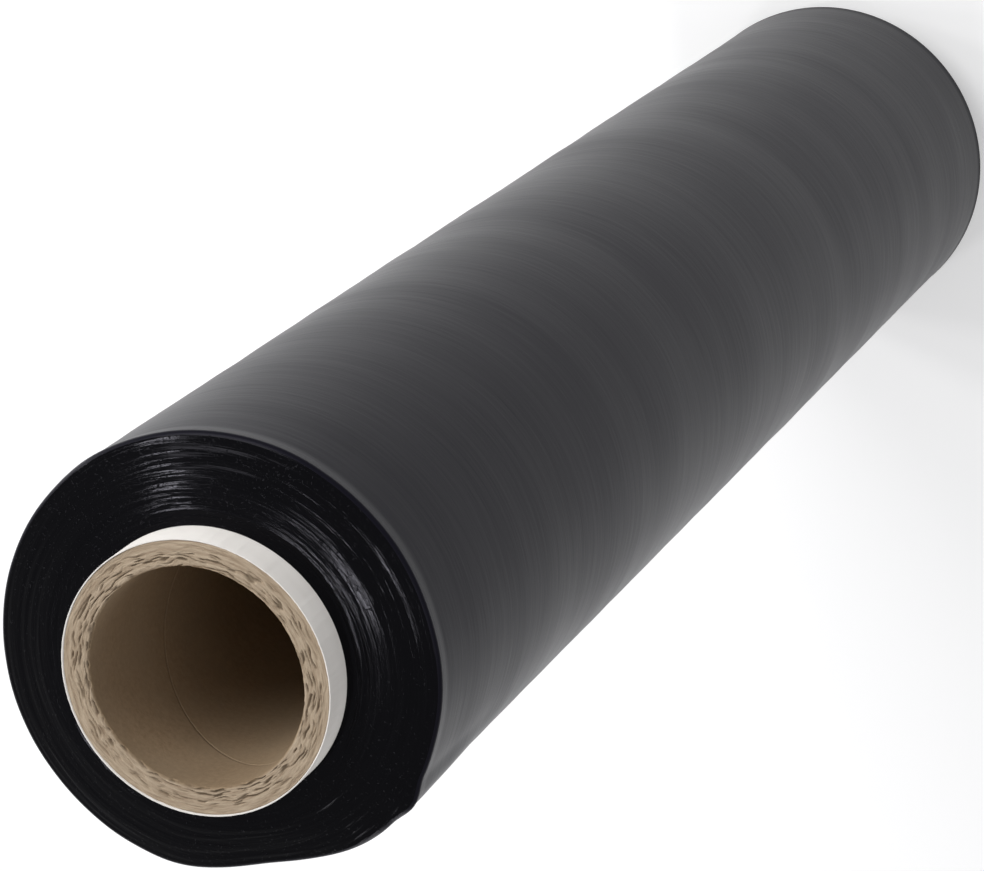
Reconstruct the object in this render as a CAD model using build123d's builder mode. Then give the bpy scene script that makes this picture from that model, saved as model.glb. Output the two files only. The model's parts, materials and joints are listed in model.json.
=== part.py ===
from build123d import *
import os

# A hand roll of stretch film, standing on one end of its core.
# The roll's axis is +Z, and the origin is the centre of the core's lower end face.
# Three concentric pieces: a wound cardboard tube, the white paper ply glued round it,
# and the film wound tight on that ply. All sizes are in millimetres.

# ---------------------------------------------------------------- driving dimensions

core_bore_radius = 25.0  # takes a 50 mm mandrel or a pair of hand grips
core_wall = 6.0  # kraft plies, glued into one wall
core_overhang = 9.0  # core standing proud of the innermost turns, at each end
bore_edge_break = 0.4  # burnished edge where the bore meets each cut end

ply_thickness = 0.35  # white outer paper ply

film_width = 500.0  # film width, measured at the innermost turns
film_build = 20.15  # thickness of all the turns, from the ply to the outer face
end_crown = 3.5  # how far each end face falls from the innermost to the outermost turns
rim_round = 1.6  # rounded edge between each end face and the outer face

# ---------------------------------------------------------------- sizes that follow

core_length = film_width + 2 * core_overhang
core_outer_radius = core_bore_radius + core_wall
ply_outer_radius = core_outer_radius + ply_thickness
film_outer_radius = ply_outer_radius + film_build

film_low_z = core_overhang
film_high_z = film_low_z + film_width
rim_low_z = film_low_z + end_crown
rim_high_z = film_high_z - end_crown

# ---------------------------------------------------------------- core tube

with BuildPart() as core_tube:
    with BuildSketch(Plane.XY):
        Circle(core_outer_radius)
        Circle(core_bore_radius, mode=Mode.SUBTRACT)
    extrude(amount=core_length)
    bore_edges = core_tube.edges().filter_by(GeomType.CIRCLE).group_by(SortBy.RADIUS)[0]
    chamfer(bore_edges, length=bore_edge_break)

# ---------------------------------------------------------------- white outer ply

with BuildPart() as core_outer_ply:
    with BuildSketch(Plane.XY):
        Circle(ply_outer_radius)
        Circle(core_outer_radius, mode=Mode.SUBTRACT)
    extrude(amount=core_length)

# ---------------------------------------------------------------- film winding

# Half section of the winding, to the right of the axis. Each end face is a shallow arc that
# leaves the core square to the axis and falls away by end_crown at the outermost turns.
with BuildPart() as film_winding:
    with BuildSketch(Plane.XZ) as film_section:
        with BuildLine():
            outer_face = Line(
                (film_outer_radius, rim_low_z),
                (film_outer_radius, rim_high_z),
            )
            upper_end = TangentArc(
                (ply_outer_radius, film_high_z),
                outer_face @ 1,
                tangent=(1, 0),
            )
            inner_face = Line(upper_end @ 0, (ply_outer_radius, film_low_z))
            TangentArc(inner_face @ 1, outer_face @ 0, tangent=(1, 0))
        make_face()
        rim_corners = film_section.vertices().group_by(Axis.X)[-1]
        fillet(rim_corners, radius=rim_round)
    revolve(axis=Axis.Z)

# ---------------------------------------------------------------- written parts

os.makedirs("parts", exist_ok=True)

core_tube.part.label = "core_tube"
export_step(core_tube.part, "parts/core_tube.step")

core_outer_ply.part.label = "core_outer_ply"
export_step(core_outer_ply.part, "parts/core_outer_ply.step")

film_winding.part.label = "film_winding"
export_step(film_winding.part, "parts/film_winding.step")
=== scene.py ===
import json
import math

import bmesh
import bpy
import numpy as np
from mathutils import Matrix, Vector, noise


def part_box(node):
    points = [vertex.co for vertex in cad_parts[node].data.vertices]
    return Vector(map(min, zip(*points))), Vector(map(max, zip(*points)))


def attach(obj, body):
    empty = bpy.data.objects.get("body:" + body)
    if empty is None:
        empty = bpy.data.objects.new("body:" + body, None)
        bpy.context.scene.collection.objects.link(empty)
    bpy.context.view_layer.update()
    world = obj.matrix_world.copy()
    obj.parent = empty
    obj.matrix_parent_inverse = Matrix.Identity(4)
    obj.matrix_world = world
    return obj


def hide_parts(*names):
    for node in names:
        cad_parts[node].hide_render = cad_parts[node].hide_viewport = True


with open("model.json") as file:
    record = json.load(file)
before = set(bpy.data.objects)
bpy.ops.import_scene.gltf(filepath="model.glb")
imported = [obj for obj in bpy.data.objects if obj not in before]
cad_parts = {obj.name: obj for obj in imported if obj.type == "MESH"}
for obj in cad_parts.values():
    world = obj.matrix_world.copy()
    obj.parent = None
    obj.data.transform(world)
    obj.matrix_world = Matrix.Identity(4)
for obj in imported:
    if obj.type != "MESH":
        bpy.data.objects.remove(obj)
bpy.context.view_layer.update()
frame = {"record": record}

# A roll of black stretch film standing on the end of its core. Everything is in metres.
# Angles round the roll are measured from the side that faces the camera (-Y) towards +X.

MM = 0.001
TAU = 2 * math.pi

# ---------------------------------------------------------------- sizes from the frame

film_low, film_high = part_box("film_winding")
tube_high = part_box("core_tube")[1]
ply_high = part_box("core_outer_ply")[1]

FILM_RADIUS = film_high.x
PLY_RADIUS = ply_high.x
TUBE_RADIUS = tube_high.x
TUBE_LENGTH = tube_high.z
BORE_RADIUS = next(m["dims"]["r_mm"] for m in frame["record"]["mounts"] if m["name"] == "core_bore") * MM


# ---------------------------------------------------------------- helpers

def wave(x, y, z, seed=0.0):
    """Smooth noise between -1 and 1 at arrays of points."""
    flat = np.broadcast_arrays(x, y, z)
    points = zip(*(a.ravel().tolist() for a in flat))
    values = [noise.noise((a + seed, b - 1.7 * seed, c + 0.6 * seed)) for a, b, c in points]
    return np.array(values).reshape(flat[0].shape)


def ring_wave(angle, across, turns, seed=0.0):
    """Noise that closes on itself round the roll: turns sets how fast it changes with the angle."""
    return wave(turns * np.cos(angle), turns * np.sin(angle), across, seed)


def ease(x, low, high):
    """0 below low, 1 above high, and a smooth step between."""
    t = np.clip((x - low) / (high - low), 0, 1)
    return t * t * (3 - 2 * t)


def bump_at(angle, centre, half_width):
    """1 at the centre angle, falling smoothly to 0 at half_width each side. All in degrees but angle."""
    away = np.abs((np.degrees(angle) - centre + 180) % 360 - 180)
    return np.cos(np.clip(away / half_width, 0, 1) * math.pi / 2) ** 2


def polar(radius, angle, height):
    """Points from arrays of radius, angle and height, as an array whose last axis is x, y, z."""
    radius, angle, height = np.broadcast_arrays(radius, angle, height)
    return np.stack([radius * np.sin(angle), -radius * np.cos(angle), height], axis=-1)


def ring_surface(name, points, helix_rings=0, rings_per_turn=0):
    """A closed mesh of quads from points[ring, column]: columns close on themselves, and so do rings.

    The first helix_rings rings climb as they go round, so each of them closes on the ring that
    is one turn further on."""
    rings, columns = points.shape[:2]
    index = np.arange(rings * columns).reshape(rings, columns)
    right = np.roll(index, -1, axis=1)
    if helix_rings:
        next_turn = np.minimum(np.arange(helix_rings) + rings_per_turn, helix_rings - 1)
        right[:helix_rings, -1] = index[next_turn, 0]
    index = np.vstack([index, index[:1]])
    right = np.vstack([right, right[:1]])
    quads = np.stack([index[:-1], right[:-1], right[1:], index[1:]], axis=-1).reshape(-1, 4)
    mesh = bpy.data.meshes.new(name)
    mesh.from_pydata(points.reshape(-1, 3).tolist(), [], quads.tolist())
    mesh.shade_smooth()
    piece = bpy.data.objects.new(name, mesh)
    bpy.context.scene.collection.objects.link(piece)
    return piece


# ---------------------------------------------------------------- film winding

FILM_COLUMNS = 320
END_RINGS = 76  # rings across one end face
SIDE_RINGS = 132  # rings down the outer face
RIM_RINGS = 5
END_CROWN = 3.5 * MM
RIM_ROUND = 1.6 * MM


def film_end_height(radius, angle, seed):
    """How far an end face stands above its innermost turn: a shallow crown, and turns that wander."""
    across = (radius - PLY_RADIUS) / (FILM_RADIUS - PLY_RADIUS)
    height = -END_CROWN * across**2
    height = height + 0.30 * MM * ring_wave(angle, radius / (4.5 * MM), 0.9, seed)
    height += 0.12 * MM * ring_wave(angle, radius / (1.3 * MM), 1.3, seed + 5)
    height += 0.05 * MM * ring_wave(angle, radius / (0.5 * MM), 2.2, seed + 9)
    return height


def film_outer_radius(height, angle):
    """The outer face: nearly round, with soft gauge bands and tension lines round the roll."""
    radius = FILM_RADIUS - 0.25 * MM + 0 * angle
    radius = radius + 0.15 * MM * ring_wave(angle, height / (22 * MM), 0.35, 21)
    radius += 0.07 * MM * ring_wave(angle, height / (9 * MM), 0.6, 27)
    return radius


def top_outline(angle):
    """The knocked shape of the upper rim: a flattened stretch, a swollen side and a flared lip."""
    offset = -3.9 * MM * bump_at(angle, 243, 36)
    offset += 0.7 * MM * bump_at(angle, 158, 62)
    offset += 1.3 * MM * bump_at(angle, 286, 8)
    offset += 0.25 * MM * ring_wave(angle, 0.0, 4.0, 33)
    return offset


def make_film():
    angle = np.linspace(0, TAU, FILM_COLUMNS, endpoint=False)[None, :]
    top_z, low_z = film_high.z, film_low.z
    across = np.linspace(0, 1, END_RINGS)[:, None]
    end_radius = PLY_RADIUS + across * (FILM_RADIUS - RIM_ROUND - PLY_RADIUS)

    rim_turn = np.linspace(0, math.pi / 2, RIM_RINGS + 2)[1:-1, None]
    rim_radius = FILM_RADIUS - RIM_ROUND * (1 - np.sin(rim_turn))
    rim_drop = RIM_ROUND * (1 - np.cos(rim_turn))

    top = top_z + film_end_height(end_radius, angle, 3)
    low = low_z - film_end_height(end_radius, angle, 71)
    top_edge, low_edge = top[-1:], low[-1:]
    top_rim = top_edge - rim_drop
    low_rim = low_edge + rim_drop

    share = np.linspace(0, 1, SIDE_RINGS)[:, None]
    side_z = top_edge - RIM_ROUND + share * (low_edge - top_edge + 2 * RIM_ROUND)

    radii = np.concatenate([
        end_radius + 0 * angle,
        rim_radius + 0 * angle,
        film_outer_radius(side_z, angle),
        rim_radius[::-1] + 0 * angle,
        end_radius[::-1] + 0 * angle,
    ])
    heights = np.concatenate([top, top_rim, side_z, low_rim[::-1], low[::-1]])

    # The knock at the upper rim fades down the roll and towards the core.
    fade = ease(heights, top_z - 70 * MM, top_z - 2 * MM) * ease(radii, PLY_RADIUS, FILM_RADIUS)
    radii = radii + top_outline(angle) * fade

    piece = ring_surface("film_winding_wrap", polar(radii, angle, heights))
    faces = len(piece.data.polygons)
    ring_of_face = np.arange(faces) // FILM_COLUMNS
    side_first = END_RINGS + 1
    side_last = END_RINGS + 2 * RIM_RINGS + SIDE_RINGS - 1
    is_end = (ring_of_face < side_first) | (ring_of_face >= side_last)
    piece.data.materials.append(film_side_material())
    piece.data.materials.append(film_end_material())
    piece.data.polygons.foreach_set("material_index", is_end.astype(np.int32))
    tidy_mesh(piece)
    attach(piece, "root")
    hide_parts("film_winding")


# ---------------------------------------------------------------- core tube

TUBE_COLUMNS = 760
TOP_CUT_RINGS = 48
LOW_CUT_RINGS = 20
SEAM_PITCH = 90 * MM  # the inner ply's edges climb this far in one turn
SEAM_ANGLE = math.radians(300)  # where the seam meets the upper cut end
SEAM_WIDTH = 0.45 * MM
SEAM_DEPTH = 0.8 * MM
MOUTH_EDGE = 0.4 * MM  # the bore's wall keeps its smooth shading to this far from a torn end


BOARD_LAYER = 0.36 * MM  # thickness of the layers that show where the board is torn
CREVICE_DEPTH = 0.60 * MM
FIBRE_RELIEF = 0.17 * MM


def cut_face(radius, angle, seed):
    """Torn, layered board: how far the cut end lies below the tube's full length."""
    across = (radius - BORE_RADIUS) / (TUBE_RADIUS - BORE_RADIUS)
    layer = radius / BOARD_LAYER
    warp = 2.2 * ring_wave(angle, radius / (2.0 * MM), 7.0, seed)
    torn = ring_wave(angle, layer + warp, 9.0, seed + 4)
    fine = ring_wave(angle, 2.3 * layer + warp, 30.0, seed + 8)
    crevice = ease(torn, 0.10, 0.42) * (1 - 0.75 * ease(across, 0.55, 0.85))
    drop = CREVICE_DEPTH * crevice + FIBRE_RELIEF * (fine + 1) * (1 - 0.5 * across)
    drop += 0.18 * MM * (ring_wave(angle, radius / (3 * MM), 2.5, seed + 12) + 1)
    drop = drop + 0.5 * MM * ease(-across, -0.06, 0.0) + 0.3 * MM * ease(across, 0.97, 1.0)
    return drop


def bore_rows():
    """Shares of one pitch at which the bore's wall has a row: close together at the seam."""
    groove = SEAM_WIDTH / SEAM_PITCH
    return [0.0, 0.3 * groove, 0.7 * groove, groove, 1.6 * groove, 0.2, 0.4, 0.6, 0.8, 1 - 0.6 * groove]


def make_tube():
    angle = np.linspace(0, TAU, TUBE_COLUMNS, endpoint=False)[None, :]
    top_radius = np.linspace(BORE_RADIUS, TUBE_RADIUS, TOP_CUT_RINGS)[:, None]
    low_radius = np.linspace(TUBE_RADIUS, BORE_RADIUS, LOW_CUT_RINGS)[:, None]
    top_z = TUBE_LENGTH - cut_face(top_radius, angle, 40)
    low_z = cut_face(low_radius, angle, 60) * 0.8
    low_z = low_z - low_z.min()

    # Rows of the bore follow the seam up the wall, and stop at the two cut ends.
    climb = (angle - SEAM_ANGLE) / TAU * SEAM_PITCH + TUBE_LENGTH % SEAM_PITCH
    turns = range(-2, int(TUBE_LENGTH / SEAM_PITCH) + 3)
    rows, depth = [], []
    for turn in turns:
        for row, share in enumerate(bore_rows()):
            rows.append(climb + (turn + share) * SEAM_PITCH)
            depth.append(SEAM_DEPTH if row in (1, 2) else 0.0)
    wall_low, wall_high = low_z[-1:] + MOUTH_EDGE, top_z[:1] - MOUTH_EDGE
    bore_z = np.clip(np.concatenate(rows), wall_low, wall_high)
    inside = (bore_z > wall_low) & (bore_z < wall_high)
    bore_radius = BORE_RADIUS + np.array(depth)[:, None] * inside

    radii = np.concatenate([bore_radius, top_radius + 0 * angle, low_radius + 0 * angle])
    heights = np.concatenate([bore_z, top_z, low_z])  # the torn ends begin a little beyond the wall
    points = polar(radii, angle, heights)
    return ring_surface("core_tube_board", points, len(bore_z), len(bore_rows()))


def tidy_mesh(piece):
    """Joins points that fell on each other, and drops faces with no area."""
    work = bmesh.new()
    work.from_mesh(piece.data)
    bmesh.ops.remove_doubles(work, verts=work.verts, dist=1e-6)
    bmesh.ops.dissolve_degenerate(work, edges=work.edges, dist=1e-7)
    bmesh.ops.recalc_face_normals(work, faces=work.faces)
    work.to_mesh(piece.data)
    work.free()
    piece.data.shade_smooth()


def make_core():
    tube = make_tube()
    tidy_mesh(tube)
    tube.data.materials.append(board_material())
    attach(tube, "root")
    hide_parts("core_tube")

    ply = make_ply()
    tidy_mesh(ply)
    ply.data.materials.append(paper_material())
    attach(ply, "root")
    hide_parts("core_outer_ply")


PLY_COLUMNS = 480
PLY_CLEARANCE = 0.02 * MM  # keeps the ply's inner face off the tube's outer face


def make_ply():
    """The white ply: a thin sleeve whose cut edges are a little frayed."""
    angle = np.linspace(0, TAU, PLY_COLUMNS, endpoint=False)[None, :]
    fray = 0.10 * MM * (ring_wave(angle, 0.0, 30.0, 81) + 1)
    mid = np.linspace(0, 1, 9)[:, None]
    outer_z = (TUBE_LENGTH - fray) * (1 - mid) + fray * mid
    outer = PLY_RADIUS - 0.04 * MM * (1 + ring_wave(angle, outer_z / (30 * MM), 2.0, 83))
    inner = TUBE_RADIUS + PLY_CLEARANCE + 0 * outer[:1]
    radii = np.concatenate([outer, inner, inner])
    heights = np.concatenate([outer_z, outer_z[-1:], outer_z[:1]])
    return ring_surface("core_white_ply", polar(radii, angle, heights))


# ---------------------------------------------------------------- materials

class Material:
    """A principled material and its nodes: add() makes a node and links or sets its inputs."""

    def __init__(self, name, **shader_values):
        self.made = bpy.data.materials.new(name)
        self.made.use_nodes = True
        self.tree = self.made.node_tree
        self.shader = self.tree.nodes["Principled BSDF"]
        self.set(self.shader, {k.replace("_", " "): v for k, v in shader_values.items()})

    def feed(self, socket, value):
        """Links an input to another node's output, or sets its own value."""
        if isinstance(value, bpy.types.NodeSocket):
            self.tree.links.new(value, socket)
        else:
            socket.default_value = value

    def set(self, node, values):
        for name, value in values.items():
            self.feed(node.inputs[name], value)

    def add(self, kind, values=None, **settings):
        node = self.tree.nodes.new("ShaderNode" + kind)
        for name, value in settings.items():
            setattr(node, name, value)
        self.set(node, values or {})
        return node

    def place(self):
        return self.add("TexCoord").outputs["Object"]

    def scaled(self, vector, scale):
        return self.add("Mapping", {"Vector": vector, "Scale": scale}).outputs["Vector"]

    def noise(self, vector, detail=3.0, roughness=0.5):
        values = {"Vector": vector, "Scale": 1.0, "Detail": detail, "Roughness": roughness}
        return self.add("TexNoise", values).outputs["Fac"]

    def span(self, value, low, high, to_low, to_high):
        values = {"Value": value, "From Min": low, "From Max": high, "To Min": to_low, "To Max": to_high}
        return self.add("MapRange", values, clamp=True).outputs["Result"]

    def math(self, operation, first, second=0.0):
        node = self.add("Math", operation=operation)
        for socket, value in zip(node.inputs, (first, second)):
            self.feed(socket, value)
        return node.outputs[0]

    def ring_place(self, across, round_roll):
        """Coordinates that change fast with the distance from the axis and slowly round it."""
        place = self.place()
        parts = self.add("SeparateXYZ", {"Vector": place}).outputs
        flat = self.add("CombineXYZ", {"X": parts["X"], "Y": parts["Y"]}).outputs["Vector"]
        radius = self.add("VectorMath", {0: flat}, operation="LENGTH").outputs["Value"]
        values = {
            "X": self.math("MULTIPLY", radius, across),
            "Y": self.math("MULTIPLY", parts["X"], round_roll),
            "Z": self.math("MULTIPLY", parts["Y"], round_roll),
        }
        return self.add("CombineXYZ", values).outputs["Vector"], radius

    def bump(self, height, distance, strength=1.0, under=None):
        values = {"Height": height, "Distance": distance, "Strength": strength}
        if under is not None:
            values["Normal"] = under
        return self.add("Bump", values).outputs["Normal"]

    def mix(self, share, first, second):
        node = self.add("Mix", data_type="RGBA")
        for place, value in ((0, share), (6, first), (7, second)):
            self.feed(node.inputs[place], value)
        return node.outputs[2]


LAVENDER = (0.90, 0.88, 1.0, 1.0)


def film_side_material():
    m = Material("stretch_film_side", IOR=1.5, Specular_IOR_Level=0.08, Specular_Tint=LAVENDER)
    place = m.place()
    brushed = m.noise(m.scaled(place, (22, 22, 2600)), detail=4, roughness=0.6)
    drawn = m.noise(m.scaled(place, (45, 45, 420)), detail=3)
    cloudy = m.noise(m.scaled(place, (14, 14, 40)), detail=2)
    normal = m.bump(drawn, 0.10 * MM, 0.5)
    normal = m.bump(brushed, 0.02 * MM, 0.5, normal)
    rough = m.math("ADD", m.span(cloudy, 0.3, 0.7, 0.26, 0.32), m.span(brushed, 0.3, 0.7, 0.0, 0.06))
    m.set(m.shader, {
        "Base Color": m.mix(cloudy, (0.004, 0.0038, 0.007, 1), (0.007, 0.0065, 0.011, 1)),
        "Roughness": rough,
        "Normal": normal,
    })
    return m.made


def film_end_material():
    m = Material("stretch_film_end", IOR=1.5, Specular_IOR_Level=0.08, Specular_Tint=LAVENDER)
    turns, radius = m.ring_place(3200, 70)
    fine_turns = m.noise(turns, detail=3, roughness=0.6)
    wide, radius = m.ring_place(700, 35)
    wide_turns = m.noise(wide, detail=2)
    pits = m.noise(m.scaled(m.place(), (1500, 1500, 1500)), detail=2)
    pitted = m.span(pits, 0.62, 0.75, 0, 1)
    normal = m.bump(wide_turns, 0.35 * MM, 0.6)
    normal = m.bump(fine_turns, 0.06 * MM, 0.6, normal)
    normal = m.bump(pitted, 0.08 * MM, 0.6, normal)
    m.set(m.shader, {
        "Base Color": m.mix(fine_turns, (0.0008, 0.0008, 0.0011, 1), (0.0020, 0.0020, 0.0026, 1)),
        "Roughness": m.span(fine_turns, 0.3, 0.7, 0.06, 0.15),
        "Normal": normal,
    })
    return m.made


def board_material():
    m = Material("kraft_board", Specular_IOR_Level=0.25)
    place = m.place()
    parts = m.add("SeparateXYZ", {"Vector": place}).outputs
    # How far below the tube's top end a point lies: it drives the painted shade on the cut end below.
    depth_for_painted_shade = m.math("SUBTRACT", TUBE_LENGTH, parts["Z"])
    turns, radius = m.ring_place(1700, 160)
    fibres = m.noise(turns, detail=4, roughness=0.65)
    grain = m.noise(m.scaled(place, (900, 900, 900)), detail=4, roughness=0.6)
    mottle = m.noise(m.scaled(place, (60, 60, 60)), detail=3)
    cut = m.mix(m.span(fibres, 0.3, 0.7, 0, 1), (0.27, 0.20, 0.135, 1), (0.46, 0.37, 0.27, 1))
    # Painted shade: the cut end turns dark brown where it lies deeper below the top end. This starts at
    # 0.48 mm and is full from 1.1 mm, so it covers its crevices and torn inner edge. The lower cut end
    # lies far below the top, so it takes this dark colour all over.
    cut = m.mix(m.span(depth_for_painted_shade, 0.48 * MM, 1.1 * MM, 0, 1), cut, (0.10, 0.07, 0.042, 1))
    wall = m.mix(m.span(grain, 0.3, 0.7, 0, 1), (0.29, 0.205, 0.125, 1), (0.37, 0.27, 0.17, 1))
    wall = m.mix(m.span(mottle, 0.35, 0.65, 0, 0.5), wall, (0.33, 0.25, 0.165, 1))
    on_wall = m.span(radius, BORE_RADIUS + 0.05 * MM, BORE_RADIUS + 0.4 * MM, 1, 0)
    normal = m.bump(grain, 0.12 * MM, 0.6)
    on_cut = m.math("SUBTRACT", 1.0, on_wall)
    normal = m.bump(m.math("MULTIPLY", fibres, on_cut), 0.25 * MM, 0.5, normal)
    m.set(m.shader, {
        "Base Color": m.mix(on_wall, cut, wall),
        "Roughness": m.span(grain, 0.3, 0.7, 0.8, 0.95),
        "Normal": normal,
    })
    return m.made


def paper_material():
    m = Material("white_paper", Specular_IOR_Level=0.3)
    place = m.place()
    grain = m.noise(m.scaled(place, (700, 700, 700)), detail=4, roughness=0.6)
    stain = m.noise(m.scaled(place, (70, 70, 120)), detail=2)
    m.set(m.shader, {
        "Base Color": m.mix(m.span(stain, 0.4, 0.7, 0, 1), (0.80, 0.77, 0.73, 1), (0.74, 0.71, 0.67, 1)),
        "Roughness": m.span(grain, 0.3, 0.7, 0.6, 0.8),
        "Normal": m.bump(grain, 0.05 * MM, 0.4),
    })
    return m.made


# ---------------------------------------------------------------- floor, light and camera

FLOOR_HALF = 6.0
FLOOR_COLOUR = (0.8, 0.8, 0.8, 1.0)
FLOOR_WHITE = 0.34  # added for camera, glossy and transmission rays, so that it shows as white
AIR_LIGHT = (0.34, 0.34, 0.35, 1.0)
AIR_SEEN = (0.62, 0.62, 0.625, 1.0)  # as pale as the far floor, so that no edge shows between them


def make_floor():
    """A plain pale floor, whitened alike where it is looked at or mirrored. It keeps the shadow."""
    mesh = bpy.data.meshes.new("studio_floor")
    near, far = -FLOOR_HALF, FLOOR_HALF
    mesh.from_pydata([(near, near, 0), (far, near, 0), (far, far, 0), (near, far, 0)], [], [(0, 1, 2, 3)])
    floor = bpy.data.objects.new("studio_floor", mesh)
    bpy.context.scene.collection.objects.link(floor)
    m = Material("pale_floor", Roughness=0.9, Specular_IOR_Level=0.1, Base_Color=FLOOR_COLOUR)
    path = m.add("LightPath").outputs
    seen = m.math("MAXIMUM", path["Is Camera Ray"], path["Is Glossy Ray"])
    seen = m.math("MAXIMUM", seen, path["Is Transmission Ray"])
    whitened = m.math("MULTIPLY", seen, FLOOR_WHITE)
    m.set(m.shader, {"Emission Color": (1, 1, 1, 1), "Emission Strength": whitened})
    mesh.materials.append(m.made)


def make_world():
    """Pale where it is looked at or mirrored, and a plain soft light on everything else."""
    world = bpy.data.worlds.new("studio_air")
    world.use_nodes = True
    tree = world.node_tree
    path = tree.nodes.new("ShaderNodeLightPath").outputs
    seen = path["Is Camera Ray"]
    for kind in ("Is Glossy Ray", "Is Transmission Ray"):
        either = tree.nodes.new("ShaderNodeMath")
        either.operation = "MAXIMUM"
        tree.links.new(seen, either.inputs[0])
        tree.links.new(path[kind], either.inputs[1])
        seen = either.outputs[0]
    shade = tree.nodes.new("ShaderNodeMix")
    shade.data_type = "RGBA"
    shade.inputs[6].default_value = AIR_LIGHT
    shade.inputs[7].default_value = AIR_SEEN
    tree.links.new(seen, shade.inputs[0])
    tree.links.new(shade.outputs[2], tree.nodes["Background"].inputs["Color"])
    bpy.context.scene.world = world


def softbox(name, azimuth, distance, height, width, tall, radiance, tint=(1, 1, 1), aim_height=0.3):
    """A rectangular lamp that faces the roll: azimuth is measured like the roll's angles."""
    light = bpy.data.lights.new(name, "AREA")
    light.shape = "RECTANGLE"
    light.size, light.size_y = width, tall
    light.energy = radiance * math.pi * width * tall
    light.color = tint
    lamp = bpy.data.objects.new(name, light)
    turn = math.radians(azimuth)
    place = Vector((distance * math.sin(turn), -distance * math.cos(turn), height))
    lamp.location = place
    lamp.rotation_mode = "QUATERNION"
    lamp.rotation_quaternion = (Vector((0, 0, aim_height)) - place).to_track_quat("-Z", "Y")
    lamp.visible_camera = False
    bpy.context.scene.collection.objects.link(lamp)


CAMERA_SIDE = 0.4319  # how far the camera stands from the roll's axis
CAMERA_ABOVE_RIM = 0.6945
CAMERA_PITCH = 63.46  # degrees below level
CAMERA_ROLL = -129.29  # degrees about the line of sight
CAMERA_LENS = 138.5


def make_camera():
    data = bpy.data.cameras.new("photo_camera")
    data.lens = CAMERA_LENS
    data.sensor_width = 36
    data.clip_start, data.clip_end = 0.01, 50
    camera = bpy.data.objects.new("photo_camera", data)
    rim_height = film_high.z - END_CROWN
    level = Matrix.Rotation(math.radians(90 - CAMERA_PITCH), 4, "X")
    rolled = Matrix.Rotation(math.radians(CAMERA_ROLL), 4, "Z")
    place = Matrix.Translation((0, -CAMERA_SIDE, rim_height + CAMERA_ABOVE_RIM))
    camera.matrix_world = place @ level @ rolled
    bpy.context.scene.collection.objects.link(camera)
    bpy.context.scene.camera = camera


def make_lights():
    softbox("key_box", 76, 0.9, 1.20, 0.7, 0.7, 5.0)
    softbox("fill_box", -40, 1.1, 1.5, 0.7, 0.7, 1.2)
    softbox("strip_left", 118, 1.1, 0.55, 0.16, 1.0, 7.0)
    softbox("strip_right", -125, 1.1, 0.55, 0.16, 1.0, 6.0)
    softbox("glint_left", 135, 0.70, 1.75, 0.12, 0.12, 60, aim_height=0.5)
    softbox("glint_front", 184, 0.50, 1.85, 0.12, 0.12, 60, aim_height=0.5)


bpy.context.scene.view_settings.view_transform = "Standard"
make_camera()
make_film()
make_core()
make_floor()
make_world()
make_lights()
